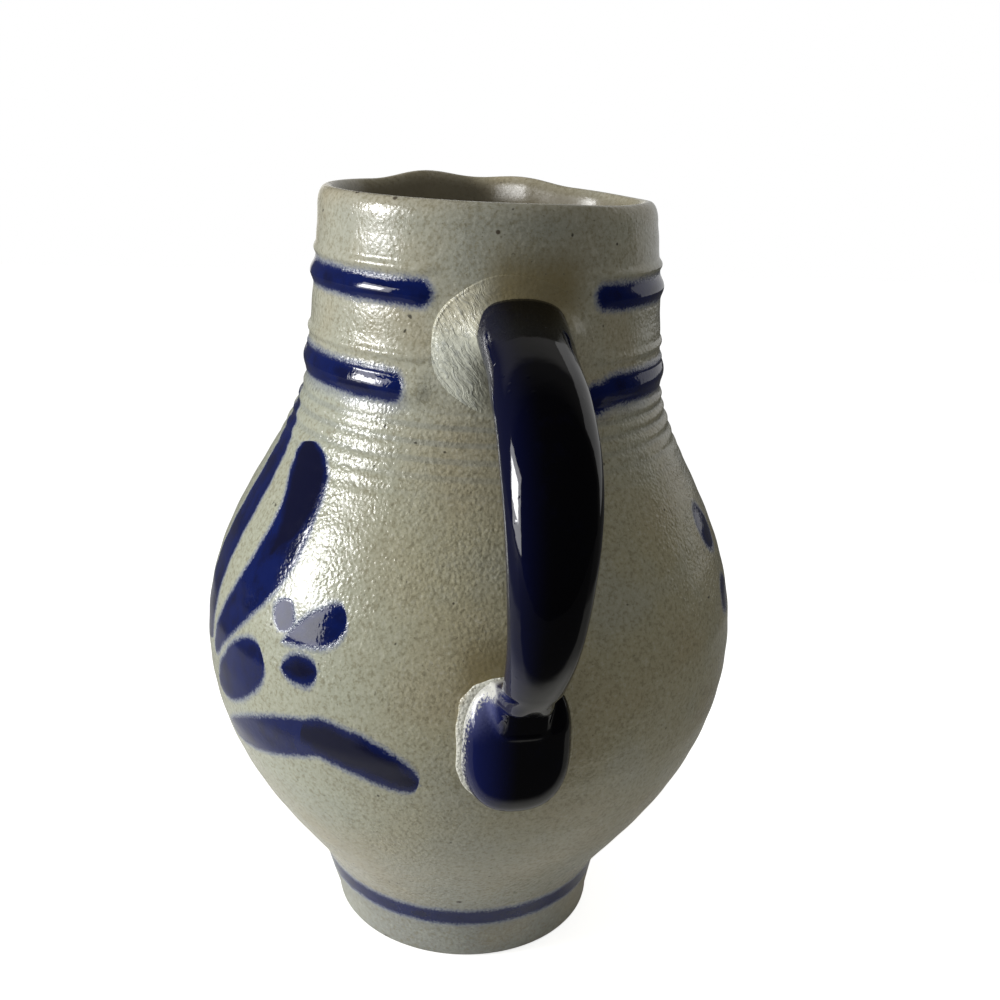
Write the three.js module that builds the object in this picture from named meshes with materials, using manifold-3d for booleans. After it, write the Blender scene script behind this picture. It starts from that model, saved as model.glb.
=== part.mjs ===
// A salt-glazed stoneware pitcher of about one litre, put together as a potter does it.
// The body is thrown in one piece on its wire-cut foot, and its lip is pulled into a small spout.
// A pulled strap of clay makes the handle, its tail pressed flat on the belly.
// Soft clay is worked in round both ends of the handle to lute it to the wall.
//
// Millimetres, +Z up. The origin is the centre of the foot's resting face.
// The handle is towards -Y and the spout towards +Y.
// An angle round the body is measured from the handle, growing towards +X.

import * as THREE from 'three';
import { mergeVertices } from 'three/addons/utils/BufferGeometryUtils.js';
import Module from 'manifold-3d';

const wasm = await Module();
wasm.setup();

// Height of each stretch of the thrown body, stacked from the resting face up
const footHeight = 17.5; // resting face to the waist
const bellyRise = 61.6; // waist to the widest ring
const shoulderRise = 64; // widest ring to the start of the neck
const neckLength = 41.9; // start of the neck to the top of the lip

// Outside radius at each ring
const footRadius = 33.6;
const waistRadius = 37.3;
const bellyRadius = 64.6;
const neckRadius = 41.5;
const lipRadius = 38.3;

// Thickness of the clay
const wallThickness = 4.5;
const floorThickness = 7;
const footEdge = 1.2; // rounding where the foot meets the table
const lipDepth = 5; // height of the rounded lip
const floorFillet = 12; // curve from the floor up into the wall

// Lean of the wall, sideways for each millimetre of rise
const waistFlare = 0.49;
const neckFlare = 0.1;

// Fullness of the belly's curves, as a share of the rise that each one spans
const waistPull = 0.2;
const bellyPullBelow = 0.487;
const bellyPullAbove = 0.456;
const neckPull = 0.274;

// Rolled ribs round the neck: half their height, and how far they stand proud
const paintedRib = { half: 3, proud: 0.75 };
const plainRib = { half: 1.6, proud: 0.5 };
const lowPaintedRibRise = 2; // from the start of the neck
const firstPlainRibRise = 5.4;
const secondPlainRibRise = 9.1;
const highPaintedRibDrop = 20.6; // from the top of the lip
const collarRibDrop = 14.8;
const ribFadeStart = 24; // degrees from the handle, where the luting has smeared the ribs away
const ribFadeEnd = 34;

// Spout and lip
const spoutReach = 5; // how far the lip is pulled out
const spoutHalfWidth = 15; // half the width of the pulled channel, round the lip
const spoutPinch = 1.2; // how far the lip is pressed in on either side of the channel
const spoutLength = 24; // how far down the neck the pull is felt
const spoutNotch = 1.2; // how far the channel lies under the lip beside it
const lipSag = 1.5; // how far the rest of the lip lies under the lip beside the channel
const lipSagStart = 20; // degrees from the spout where the lip starts to drop
const lipSagEnd = 60;

// Handle
const rootDrop = 25.8; // from the top of the lip to the middle of the root
const rootDip = 23.2; // degrees that the strap leaves the neck below the level
const rootPull = 22.1; // how stiffly the strap leaves the neck
const standoff = 15.8; // middle of the strap beyond the belly at its furthest
const reachRise = 32.9; // furthest point of the strap above the widest ring
const backPull = 30.5; // roundness of the arch above its furthest point
const fallPull = 15; // roundness of the turn below its furthest point
const tailPull = 12.5; // how gently the strap comes down onto the belly
const tailDrop = 3; // middle of the pressed tail below the widest ring
const strapWidth = 19.3;
const strapThickness = 10.4;
const rootFlare = 1.6; // extra width where the strap is spread on the neck
const tailWidth = 12;
const tailThickness = 7.6;
const taperStart = 0.3; // share of the strap's length where it starts to narrow
const taperEnd = 0.85;

// Tail of the handle, pressed flat on the belly
const padHalfWidth = 11.7;
const padAbove = 18.4; // from the middle of the tail up
const padBelow = 14.5; // from the middle of the tail down
const padCrown = 4.4; // thickness in the middle
const padEdge = 1.9; // thickness where the edge turns down
const tailSink = 0.4; // how far the strap's own back lies under the crown

// Clay worked in round the root of the handle
const rootClayDrop = 3.8; // middle of the clay below the middle of the root
const rootClayHalfWidth = 18.8;
const rootClayAbove = 13.6;
const rootClayBelow = 14;
const rootClayCrown = 6.5;
const rootClayEdge = 1.1;

// Bead of slip that squeezes out round the pressed tail
const beadWidth = 2.4;
const beadHeight = 1.5;

// Fits
const seatGap = 0.3; // between two pieces that lie on each other
const bedDepth = 2; // how deep a piece is laid into the wall before it is trimmed to its seat

// Fineness of the surfaces
const segmentsRound = 64;
const strapSteps = 26;
const strapSides = 16;
const patRings = 5;
const patSides = 30;

const waistLevel = footHeight;
const bellyLevel = waistLevel + bellyRise;
const neckLevel = bellyLevel + shoulderRise;
const lipLevel = neckLevel + neckLength;
const lipStart = lipLevel - lipDepth;
const rootLevel = lipLevel - rootDrop;
const tailLevel = bellyLevel - tailDrop;

const { clamp, degToRad, lerp, smoothstep } = THREE.MathUtils;
const point = (radius, level) => new THREE.Vector2(radius, level);

// The outside of the wall from the waist to the neck: two curves that meet at the widest ring.
function bellyCurves() {
  const below = new THREE.CubicBezierCurve(
    point(waistRadius, waistLevel),
    point(waistRadius + waistFlare * waistPull * bellyRise, waistLevel + waistPull * bellyRise),
    point(bellyRadius, bellyLevel - bellyPullBelow * bellyRise),
    point(bellyRadius, bellyLevel),
  );
  const above = new THREE.CubicBezierCurve(
    point(bellyRadius, bellyLevel),
    point(bellyRadius, bellyLevel + bellyPullAbove * shoulderRise),
    point(neckRadius + neckFlare * neckPull * shoulderRise, neckLevel - neckPull * shoulderRise),
    point(neckRadius, neckLevel),
  );
  return [below, above];
}

// Levels and depths of the ribs on the neck
function neckRibs() {
  return [
    { level: neckLevel + lowPaintedRibRise, ...paintedRib },
    { level: neckLevel + firstPlainRibRise, ...plainRib },
    { level: neckLevel + secondPlainRibRise, ...plainRib },
    { level: lipLevel - highPaintedRibDrop, ...paintedRib },
    { level: lipLevel - collarRibDrop, ...plainRib },
  ];
}

// How far the ribs stand proud at a level: each is one rounded swelling, and the proudest wins.
function ribAt(level) {
  const swellings = neckRibs().map((rib) => {
    const share = clamp((level - rib.level) / rib.half, -1, 1);
    return rib.proud * Math.cos((share * Math.PI) / 2) ** 2;
  });
  return Math.max(...swellings);
}

// Points on the neck between the shoulder and the lip, close together where a rib swells.
function neckPoints() {
  const ribShares = [-1, -0.35, 0.35, 1];
  const levels = neckRibs().flatMap((rib) => ribShares.map((share) => rib.level + share * rib.half));
  const leastStep = 0.6;
  const inside = levels.filter((level) => level > neckLevel + leastStep && level < lipStart - leastStep);
  inside.sort((a, b) => a - b);
  const spaced = inside.filter((level, index) => index === 0 || level - inside[index - 1] > leastStep);
  return spaced.map((level) => {
    const share = (level - neckLevel) / (lipStart - neckLevel);
    return point(lerp(neckRadius, lipRadius, share), level);
  });
}

// The smooth outside of the wall, without ribs, from the foot's edge up to the lip.
function outsideProfile() {
  const [below, above] = bellyCurves();
  return [
    point(footRadius - footEdge, 0),
    point(footRadius, footEdge),
    ...below.getPoints(8),
    ...above.getPoints(9).slice(1),
    ...neckPoints(),
    point(lipRadius, lipStart),
  ];
}
const outside = outsideProfile();

// Outside radius of the wall at a level, read off the smooth profile.
function wallRadius(level) {
  const next = outside.findIndex((p) => p.y >= level);
  if (next < 1) return next === 0 ? outside[0].x : lipRadius;
  const from = outside[next - 1];
  const to = outside[next];
  return lerp(from.x, to.x, (level - from.y) / (to.y - from.y));
}

// The rounded lip, over the top from outside to inside.
function lipProfile() {
  const half = wallThickness / 2;
  const over = new THREE.EllipseCurve(lipRadius - half, lipStart, half, lipDepth, 0, Math.PI);
  return over.getPoints(6).slice(1);
}

// The inside of the wall, from the lip down to the middle of the floor: the outside moved in
// square to itself by the thickness of the clay.
function insideProfile() {
  const moveIn = (curve, count) =>
    Array.from({ length: count + 1 }, (unused, index) => {
      const share = 1 - index / count;
      const along = curve.getTangent(share);
      return curve.getPoint(share).add(point(-along.y, along.x).multiplyScalar(wallThickness));
    });
  const [below, above] = bellyCurves();
  const lowest = waistLevel + floorFillet / 2;
  const wall = [...moveIn(above, 7), ...moveIn(below, 7).slice(1)].filter((p) => p.y > lowest);
  const turn = wall[wall.length - 1];
  const fillet = new THREE.QuadraticBezierCurve(
    turn,
    point(turn.x - (turn.y - floorThickness) * waistFlare, floorThickness),
    point(turn.x - floorFillet - (turn.y - floorThickness) * waistFlare, floorThickness),
  );
  return [...wall, ...fillet.getPoints(3).slice(1), point(0, floorThickness)];
}

// Degrees round the body from the handle.
const degreesFromHandle = (x, y) => (Math.atan2(x, -y) * 180) / Math.PI;

// How far the pull of the spout moves the wall outwards at an angle and a level. The channel is
// one rounded swelling opposite the handle, with a shallow pinch on either side of it.
function spoutPull(degrees, level) {
  const round = degToRad(180 - Math.abs(degrees)) * lipRadius;
  const channel = Math.cos((clamp(round / spoutHalfWidth, 0, 1) * Math.PI) / 2) ** 2;
  const beside = clamp((round - spoutHalfWidth) / spoutHalfWidth, -1, 1);
  const pinch = Math.cos((beside * Math.PI) / 2) ** 2;
  const depth = smoothstep(level, lipLevel - spoutLength, lipLevel);
  return depth * (spoutReach * channel - spoutPinch * pinch);
}

// How far the lip lies under its highest level, round the mouth.
function lipDrop(degrees) {
  const round = degToRad(180 - Math.abs(degrees)) * lipRadius;
  const channel = Math.cos((clamp(round / spoutHalfWidth, 0, 1) * Math.PI) / 2) ** 2;
  const sag = smoothstep(180 - Math.abs(degrees), lipSagStart, lipSagEnd);
  return lipSag * sag + spoutNotch * channel;
}

// Turns a profile round the axis, rolls the ribs on its outside and pulls the spout.
// The first outsideCount points of the profile are on the outside.
function throwClay(profile, outsideCount) {
  const geometry = new THREE.LatheGeometry(profile, segmentsRound);
  geometry.rotateX(Math.PI / 2);
  const at = geometry.attributes.position;
  for (let index = 0; index < at.count; index += 1) {
    const level = at.getZ(index);
    const radius = Math.hypot(at.getX(index), at.getY(index));
    if (radius < 1e-6) continue;
    const degrees = degreesFromHandle(at.getX(index), at.getY(index));
    const onOutside = index % profile.length < outsideCount;
    const ribShare = smoothstep(Math.abs(degrees), ribFadeStart, ribFadeEnd);
    const rib = onOutside ? ribAt(level) * ribShare : 0;
    const pulled = radius + rib + spoutPull(degrees, level);
    const drop = lipDrop(degrees) * smoothstep(level, lipLevel - spoutLength, lipLevel);
    const turn = degToRad(degrees);
    at.setXYZ(index, pulled * Math.sin(turn), -pulled * Math.cos(turn), level - drop);
  }
  return geometry;
}

// A closed geometry as a solid that can be cut and joined.
function solid(geometry) {
  const bare = geometry.clone();
  bare.deleteAttribute('normal');
  bare.deleteAttribute('uv');
  const merged = mergeVertices(bare, 1e-4);
  return new wasm.Manifold(
    new wasm.Mesh({
      numProp: 3,
      vertProperties: new Float32Array(merged.attributes.position.array),
      triVerts: new Uint32Array(merged.index.array),
    }),
  );
}

// A solid back as a geometry.
function geometryOf(body) {
  const mesh = body.getMesh();
  const geometry = new THREE.BufferGeometry();
  geometry.setAttribute('position', new THREE.BufferAttribute(mesh.vertProperties, 3));
  geometry.setIndex(new THREE.BufferAttribute(mesh.triVerts, 1));
  geometry.computeVertexNormals();
  return geometry;
}

// Rings of points, all of one length, skinned into a closed body. Each ring runs anticlockwise
// seen from ahead, and the two ends are closed by a fan to the middle of the end ring.
function skin(rings) {
  const sides = rings[0].length;
  const middle = (ring) =>
    ring.reduce((sum, p) => sum.add(p), new THREE.Vector3()).divideScalar(sides);
  const points = [...rings.flat(), middle(rings[0]), middle(rings[rings.length - 1])];
  const first = rings.length * sides;
  const faces = [];
  for (let ring = 0; ring < rings.length - 1; ring += 1) {
    for (let side = 0; side < sides; side += 1) {
      const next = (side + 1) % sides;
      const a = ring * sides + side;
      const b = ring * sides + next;
      faces.push(a, b, a + sides, b, b + sides, a + sides);
    }
  }
  for (let side = 0; side < sides; side += 1) {
    const next = (side + 1) % sides;
    const last = (rings.length - 1) * sides;
    faces.push(first, next, side);
    faces.push(first + 1, last + side, last + next);
  }
  const geometry = new THREE.BufferGeometry().setFromPoints(points);
  geometry.setIndex(faces);
  return geometry;
}

// The middle line of the strap, from inside the neck's wall, over the arch, down to the belly.
function strapPath() {
  const dip = degToRad(rootDip);
  const at = (radius, level) => new THREE.Vector3(0, -radius, level);
  const rootRadius = wallRadius(rootLevel);
  const reachRadius = bellyRadius + standoff;
  const reachLevel = bellyLevel + reachRise;
  const tailRadius = bellyRadius + padCrown - tailThickness / 2 - tailSink;
  const path = new THREE.CurvePath();
  path.add(new THREE.LineCurve3(
    at(rootRadius - bedDepth * Math.cos(dip), rootLevel + bedDepth * Math.sin(dip)),
    at(rootRadius, rootLevel),
  ));
  path.add(new THREE.CubicBezierCurve3(
    at(rootRadius, rootLevel),
    at(rootRadius + rootPull * Math.cos(dip), rootLevel - rootPull * Math.sin(dip)),
    at(reachRadius, reachLevel + backPull),
    at(reachRadius, reachLevel),
  ));
  path.add(new THREE.CubicBezierCurve3(
    at(reachRadius, reachLevel),
    at(reachRadius, reachLevel - fallPull),
    at(tailRadius, tailLevel + tailPull),
    at(tailRadius, tailLevel),
  ));
  return path;
}

// The strap as rings of an oval that narrows towards the tail. grow makes it larger all over.
function strap(grow) {
  const path = strapPath();
  const squareness = 2.4; // 2 is an ellipse, more is squarer
  const power = (value) => Math.sign(value) * Math.abs(value) ** (2 / squareness);
  const rings = Array.from({ length: strapSteps + 1 }, (unused, step) => {
    const share = step / strapSteps;
    const centre = path.getPointAt(share);
    const along = path.getTangentAt(share);
    const across = new THREE.Vector3(1, 0, 0);
    const up = new THREE.Vector3().crossVectors(across, along);
    const taper = clamp((share - taperStart) / (taperEnd - taperStart), 0, 1);
    const flare = rootFlare * (1 - smoothstep(share, 0, 0.12));
    const halfWidth = lerp(strapWidth, tailWidth, taper) / 2 + flare / 2 + grow;
    const halfThickness = lerp(strapThickness, tailThickness, taper) / 2 + grow;
    return Array.from({ length: strapSides }, (none, side) => {
      const turn = (side / strapSides) * Math.PI * 2;
      return centre
        .clone()
        .addScaledVector(across, halfWidth * power(Math.cos(turn)))
        .addScaledVector(up, -halfThickness * power(Math.sin(turn)));
    });
  });
  return skin(rings);
}

// A pat of clay pressed on the wall behind the handle. Its outline is a rounded oval, and its
// top falls from the crown in the middle to the edge. rounding is how late the top falls.
function pat({ level, halfWidth, above, below, crown, edge, rounding }) {
  const squareness = 2.3;
  const power = (value) => Math.sign(value) * Math.abs(value) ** (2 / squareness);
  const place = (share, side, thickness) => {
    const turn = (side / patSides) * Math.PI * 2;
    const round = share * halfWidth * power(Math.cos(turn));
    const rise = share * (Math.sin(turn) > 0 ? above : below) * power(Math.sin(turn));
    const angle = round / wallRadius(level);
    const radius = wallRadius(level + rise) + thickness;
    return new THREE.Vector3(radius * Math.sin(angle), -radius * Math.cos(angle), level + rise);
  };
  const ring = (share, thickness) =>
    Array.from({ length: patSides }, (unused, side) => place(share, side, thickness));
  const shares = Array.from({ length: patRings }, (unused, index) => (index + 1) / patRings);
  const top = shares.map((share) =>
    ring(share, lerp(edge, crown, (1 - share ** rounding) ** (1 / rounding))));
  const under = shares.map((share) => ring(share, -bedDepth));
  return skin([...under, ...top.reverse()]);
}

// The handle's clay before it is trimmed to the wall: the strap and its pressed tail.
function handleClay(grow) {
  const tail = pat({
    level: tailLevel,
    halfWidth: padHalfWidth + grow,
    above: padAbove + grow,
    below: padBelow + grow,
    crown: padCrown + grow,
    edge: padEdge + grow,
    rounding: 2.6,
  });
  return solid(strap(grow)).add(solid(tail));
}

// The room that the body takes up, filled in, with the seat's gap round it.
function bodyRoom() {
  const grown = outside.map((p) => point(p.x + seatGap, p.y));
  const closed = [point(0, -1), point(grown[0].x, -1), ...grown, point(0, lipStart)];
  return solid(throwClay(closed, closed.length - 1));
}

// The clay worked in round the root of the handle.
function rootClay() {
  return solid(pat({
    level: rootLevel - rootClayDrop,
    halfWidth: rootClayHalfWidth,
    above: rootClayAbove,
    below: rootClayBelow,
    crown: rootClayCrown,
    edge: rootClayEdge,
    rounding: 1.2,
  }));
}

// The bead round the pressed tail.
function tailBead() {
  return solid(pat({
    level: tailLevel,
    halfWidth: padHalfWidth + beadWidth,
    above: padAbove + beadWidth,
    below: padBelow + beadWidth,
    crown: beadHeight + seatGap,
    edge: beadHeight / 2 + seatGap,
    rounding: 2,
  }));
}

const stoneware = new THREE.MeshStandardMaterial({ color: '#aaa78f', roughness: 0.4, metalness: 0 });
const cobalt = new THREE.MeshStandardMaterial({ color: '#11152f', roughness: 0.12, metalness: 0 });
const slip = new THREE.MeshStandardMaterial({ color: '#b7b59c', roughness: 0.35, metalness: 0 });

function named(name, geometry, material) {
  const mesh = new THREE.Mesh(geometry, material);
  mesh.name = name;
  return mesh;
}

const profile = [point(0, 0), ...outside, ...lipProfile(), ...insideProfile()];
const thrown = geometryOf(solid(throwClay(profile, outside.length + 1)));
const room = bodyRoom();
const handle = handleClay(0).subtract(room);
const handleRoom = handleClay(seatGap);
const upper = rootClay().subtract(room).subtract(handleRoom);
const lower = tailBead().subtract(room).subtract(handleRoom);

const pitcher = new THREE.Group();
pitcher.add(named('thrown_body', thrown, stoneware));
pitcher.add(named('handle_strap', geometryOf(handle), cobalt));
pitcher.add(named('root_luting', geometryOf(upper), slip));
pitcher.add(named('tail_luting', geometryOf(lower), slip));

export default pitcher;
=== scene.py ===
# %% [markdown]
# # A salt-glazed stoneware pitcher
# The pitcher is one litre of grey stoneware, thrown on a wheel, painted with cobalt and glazed by salt
# that is thrown into the kiln. Its handle is a strap of clay pulled by hand and pressed on.
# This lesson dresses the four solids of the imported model: the thrown body, the handle, and the soft
# clay that was worked in at each end of the handle. Each gets a finer surface in the same place.

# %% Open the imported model
import math

import bpy
import numpy as np
from mathutils import Matrix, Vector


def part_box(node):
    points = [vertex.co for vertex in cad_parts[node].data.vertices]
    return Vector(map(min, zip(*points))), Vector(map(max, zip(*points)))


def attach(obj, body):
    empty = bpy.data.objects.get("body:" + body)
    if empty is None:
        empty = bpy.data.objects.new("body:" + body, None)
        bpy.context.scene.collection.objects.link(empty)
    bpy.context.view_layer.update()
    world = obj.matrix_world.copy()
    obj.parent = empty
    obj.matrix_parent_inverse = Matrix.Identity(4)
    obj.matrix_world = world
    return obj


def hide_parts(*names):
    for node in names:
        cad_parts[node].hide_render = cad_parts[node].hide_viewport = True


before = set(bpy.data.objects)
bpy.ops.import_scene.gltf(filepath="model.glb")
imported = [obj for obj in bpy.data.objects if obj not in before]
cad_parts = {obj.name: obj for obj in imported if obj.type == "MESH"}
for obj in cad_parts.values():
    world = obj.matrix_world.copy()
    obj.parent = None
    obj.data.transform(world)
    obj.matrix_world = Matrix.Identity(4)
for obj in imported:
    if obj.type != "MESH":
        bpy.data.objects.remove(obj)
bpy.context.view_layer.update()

# %% [markdown]
# ## Sizes
# A potter thinks of a jug as stacked stretches: foot, belly, shoulder, neck. Every surface below is
# worked out in millimetres from these few sizes, and turned into metres when it becomes a mesh.
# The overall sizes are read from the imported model, so the dressed jug always fits it.

# %% Driving sizes in millimetres
MM = 0.001
body_low, body_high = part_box("thrown_body")
jug_height = body_high.z / MM
belly_radius = body_high.x / MM

foot_radius = 33.6
foot_height = 17.5
waist_radius = 37.3
neck_radius = 41.5
lip_radius = 38.1
belly_level = foot_height + 61.6
neck_level = belly_level + 64.0
lip_depth = 5.0
lip_start = jug_height - lip_depth
wall = 4.5
floor_thickness = 7.0
print("height", round(jug_height, 1), "belly radius", round(belly_radius, 1))

# %% [markdown]
# ## Small helpers for shapes
# A smooth rise from 0 to 1 is the most useful building block of all: it fades ribs out, opens the
# spout and blends one form into the next. A swelling is one rounded hump made from a cosine.
# Where two forms meet in soft clay there is no sharp corner, so the larger of two heights is taken
# with a soft maximum, which leaves a small fillet.

# %% Rise, swelling, soft maximum, curve
def rise(value, start, end):
    """0 before start, 1 after end, and 3t^2 - 2t^3 between them."""
    t = np.clip((value - start) / (end - start), 0.0, 1.0)
    return t * t * (3.0 - 2.0 * t)


def between(value, start, full, fading, end):
    """1 from full to fading, and 0 before start and after end."""
    return rise(value, start, full) * (1.0 - rise(value, fading, end))


def swelling(value, middle, half):
    """cos^2 of the distance from the middle, 1 there and 0 at half away and beyond."""
    share = np.clip((value - middle) / half, -1.0, 1.0)
    return np.cos(share * np.pi / 2.0) ** 2


def soft_max(a, b, softness):
    """The larger of the two, plus softness/4 times (1 - |a-b|/softness)^2 where they are that close."""
    close = np.clip(1.0 - np.abs(a - b) / np.maximum(softness, 1e-6), 0.0, 1.0)
    return np.maximum(a, b) + 0.25 * softness * close ** 2


def bezier(a, b, c, d, count):
    """Points on a cubic curve: the four corner points weighted by (1-t)^3, 3t(1-t)^2, 3t^2(1-t), t^3."""
    t = np.linspace(0.0, 1.0, count)[:, None]
    a, b, c, d = (np.asarray(p, float) for p in (a, b, c, d))
    return a * (1 - t) ** 3 + 3 * b * t * (1 - t) ** 2 + 3 * c * t ** 2 * (1 - t) + d * t ** 3


# %% Directions, turns and lengths along a line
def unit(vectors):
    """The same directions, each one long."""
    return vectors / np.linalg.norm(vectors, axis=-1, keepdims=True)


def full_turn(count):
    """Angles evenly round a circle, the last a step short of the first."""
    return np.linspace(0.0, 2.0 * np.pi, count, endpoint=False)


def run_along(line):
    """How far along a line of points each of them lies."""
    return np.concatenate([[0.0], np.cumsum(np.linalg.norm(np.diff(line, axis=0), axis=1))])


def follow(line, run):
    """The points of a line after some runs along it."""
    return np.stack([np.interp(run, run_along(line), line[:, i]) for i in range(2)], axis=-1)


# %% Objects and where they stand
def add_object(name, data):
    """A new object, linked to the scene."""
    new = bpy.data.objects.new(name, data)
    bpy.context.scene.collection.objects.link(new)
    return new


def standing(right, up, back, spot):
    """The matrix of an object with these three directions at this spot."""
    whole = np.eye(4)
    whole[:3] = np.stack([right, up, back, spot], axis=-1)
    return Matrix(whole.tolist())


# %% A closed skin over rings of points
def closed_skin(name, rings, first_pole=None, last_pole=None, inner=None):
    """A mesh over rings of points (rings x columns x 3, millimetres), each ring running round.
    With poles the two end rings are closed by fans; without, the last ring joins the first.
    The optional share of each ring that lies inside the jug is kept on its points."""
    count, columns = rings.shape[:2]
    points = rings.reshape(-1, 3)
    here = np.arange(count * columns).reshape(count, columns)
    right = np.roll(here, -1, axis=1)
    quads = np.stack([here, right, np.roll(right, -1, axis=0), np.roll(here, -1, axis=0)], axis=-1)
    if first_pole is None:
        faces = quads.reshape(-1, 4).tolist()
    else:
        points = np.vstack([points, first_pole, last_pole])
        pole = np.full(columns, count * columns)
        first_fan = np.stack([right[0], here[0], pole], axis=-1)
        last_fan = np.stack([here[-1], right[-1], pole + 1], axis=-1)
        faces = quads[:-1].reshape(-1, 4).tolist() + first_fan.tolist() + last_fan.tolist()
    mesh = bpy.data.meshes.new(name)
    mesh.from_pydata((points * MM).tolist(), [], faces)
    mesh.polygons.foreach_set("use_smooth", np.ones(len(mesh.polygons), bool))
    mesh.update()
    if inner is not None:
        shares = np.concatenate([np.repeat(inner, columns), [0.0, 1.0]])
        mesh.attributes.new("inner", "FLOAT", "POINT").data.foreach_set("value", shares)
    print(name, len(points), "points,", 2 * count * columns, "triangles")
    return add_object(name, mesh)


# %% [markdown]
# ## The outside of the wall
# From the waist to the neck the wall is one full belly. Two curves meet at the widest ring, where the
# wall is upright. The neck above it closes in a little towards the lip.
# The profile could be turned with a Spin, but a function that gives the radius at any level is more
# useful here: the handle and the luting clay have to lie on this same wall.

# %% Radius of the wall at a level
belly_rise = belly_level - foot_height
shoulder_rise = neck_level - belly_level
below_belly = bezier(
    (waist_radius, foot_height),
    (waist_radius + 0.49 * 0.2 * belly_rise, foot_height + 0.2 * belly_rise),
    (belly_radius, belly_level - 0.487 * belly_rise),
    (belly_radius, belly_level),
    160,
)
above_belly = bezier(
    (belly_radius, belly_level),
    (belly_radius, belly_level + 0.456 * shoulder_rise),
    (neck_radius + 0.1 * 0.274 * shoulder_rise, neck_level - 0.274 * shoulder_rise),
    (neck_radius, neck_level),
    160,
)
foot_line = np.array([(foot_radius, 0.0), (foot_radius + 0.2, 3.0), (waist_radius - 1.1, 13.2)])
smooth_outside = np.vstack([foot_line, below_belly, above_belly[1:], [(lip_radius, jug_height)]])


def wall_radius(level):
    """Radius of the smooth outside at a level, read off the profile."""
    return np.interp(level, smooth_outside[:, 1], smooth_outside[:, 0])


print("radius at the foot, belly, neck:", wall_radius(np.array([5.0, belly_level, neck_level])).round(1))

# %% [markdown]
# ## Ribs and rings
# While the neck turns, a wooden rib is held against it and leaves two rounded bands, which are painted
# later, and finer ribs between them. Further down, the fingertips leave a row of shallow rings that
# die out on the shoulder. Where the handle is luted on, the potter's thumb has wiped the ribs away.

# %% Ribs, finger rings and the marks of throwing
upper_band = 165.0
lower_band = 145.5
rib_tilt = -0.2
ribs = [
    (lower_band, 4.0, 0.95),
    (148.5, 1.3, 0.42),
    (152.2, 1.5, 0.5),
    (upper_band, 3.4, 0.95),
    (170.4, 1.8, 0.6),
]
ring_spacing = 3.1
ring_depth = 0.26
first_ring = neck_level - 3.4


def rib_height(level):
    """The proudest of the rounded ribs at a level."""
    return np.max([proud * swelling(level, middle, half) for middle, half, proud in ribs], axis=0)


def finger_rings(degrees, level):
    """A cosine down the shoulder, strongest under the neck and gone above the belly, never quite even."""
    strength = between(level, 119.0, 137.0, neck_level - 2.5, neck_level + 0.5)
    uneven = 0.75 + 0.35 * np.cos(level / 4.7 + 2.0 * np.radians(degrees))
    wander = 0.5 * np.cos(level / 9.0 + np.radians(degrees))
    wave = np.cos(2.0 * np.pi * (level - first_ring + wander) / ring_spacing)
    return ring_depth * strength * uneven * wave


def throwing_marks(degrees, level):
    """Slow waves round and up the wall, a tenth of a millimetre or two, as no jug runs quite true."""
    turn = np.radians(degrees)
    slow = 0.16 * np.cos(2.0 * turn + 0.6 + level / 60.0) + 0.07 * np.cos(3.0 * turn - level / 31.0)
    spiral = 0.05 * np.cos(2.0 * np.pi * level / 7.3 - turn)
    return slow + spiral * rise(level, 20.0, 40.0)


def rib_share(degrees):
    """How much of a rib is left at an angle from the handle: none under the luting clay."""
    return rise(np.abs(degrees + 1.3), 23.0, 29.0)


# %% [markdown]
# ## Spout and lip
# Before the clay stiffens, two fingers hold the lip and a third pulls it out between them. So the
# channel is one swelling opposite the handle, with a pinch on either side, strongest at the lip.
# The lip also dips at the sides of the mouth, from being held there.

# %% Pull of the spout and drop of the lip
spout_reach = 5.0
spout_half = 22.4
spout_length = 26.0
spout_middle = 176.0


def from_spout(degrees):
    """Degrees away from the middle of the spout, rounded off at the middle by two degrees."""
    return np.hypot(np.mod(degrees, 360.0) - spout_middle, 2.0) - 2.0


def spout_pull(degrees, level):
    """How far the wall is drawn out at an angle and a level: half a swelling and half a creased tent."""
    away = from_spout(degrees)
    tent = np.clip(1.0 - away / spout_half, 0.0, 1.0) ** 1.5
    channel = 0.5 * swelling(away, 0.0, spout_half) + 0.5 * tent
    pinch = swelling(away, 1.55 * spout_half, 0.95 * spout_half)
    return rise(level, jug_height - spout_length, jug_height) * (spout_reach * channel - 1.3 * pinch)


def lip_drop(degrees):
    """How far the lip lies under its nominal level; two humps stand up on either side of the spout."""
    around = np.mod(degrees, 360.0)
    sag = 1.25 + 1.15 * swelling(around, 100.0, 60.0) + 0.5 * swelling(around, 42.0, 32.0)
    return sag - 1.2 * swelling(around, 157.0, 24.0) - 1.9 * swelling(around, 196.0, 27.0)


def lean(level):
    """Sideways drift of the axis, as the jug stands a hair out of true."""
    low = -0.65 + 0.8 * (1.0 - rise(level, 0.0, 15.0))
    return low + 0.95 * rise(level, 80.0, 155.0) - 0.5 * rise(level, 165.0, 185.0)


# %% A point on the wall
def place(degrees, radius, level):
    """Angle from the handle (growing towards +X), radius and level, as x, y, z."""
    turn = np.radians(degrees)
    x = radius * np.sin(turn) + lean(level)
    y = -radius * np.cos(turn)
    return np.stack(np.broadcast_arrays(x, y, level), axis=-1)


def outer_radius(degrees, level):
    """The wall with its ribs, rings, marks and spout."""
    tilted = level - rib_tilt * np.sin(np.radians(degrees))
    worked = rib_height(tilted) * rib_share(degrees)
    worked = worked + finger_rings(degrees, tilted) * rise(np.abs(degrees), 6.0, 14.0)
    return wall_radius(level) + worked + throwing_marks(degrees, level) + spout_pull(degrees, level)


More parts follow.
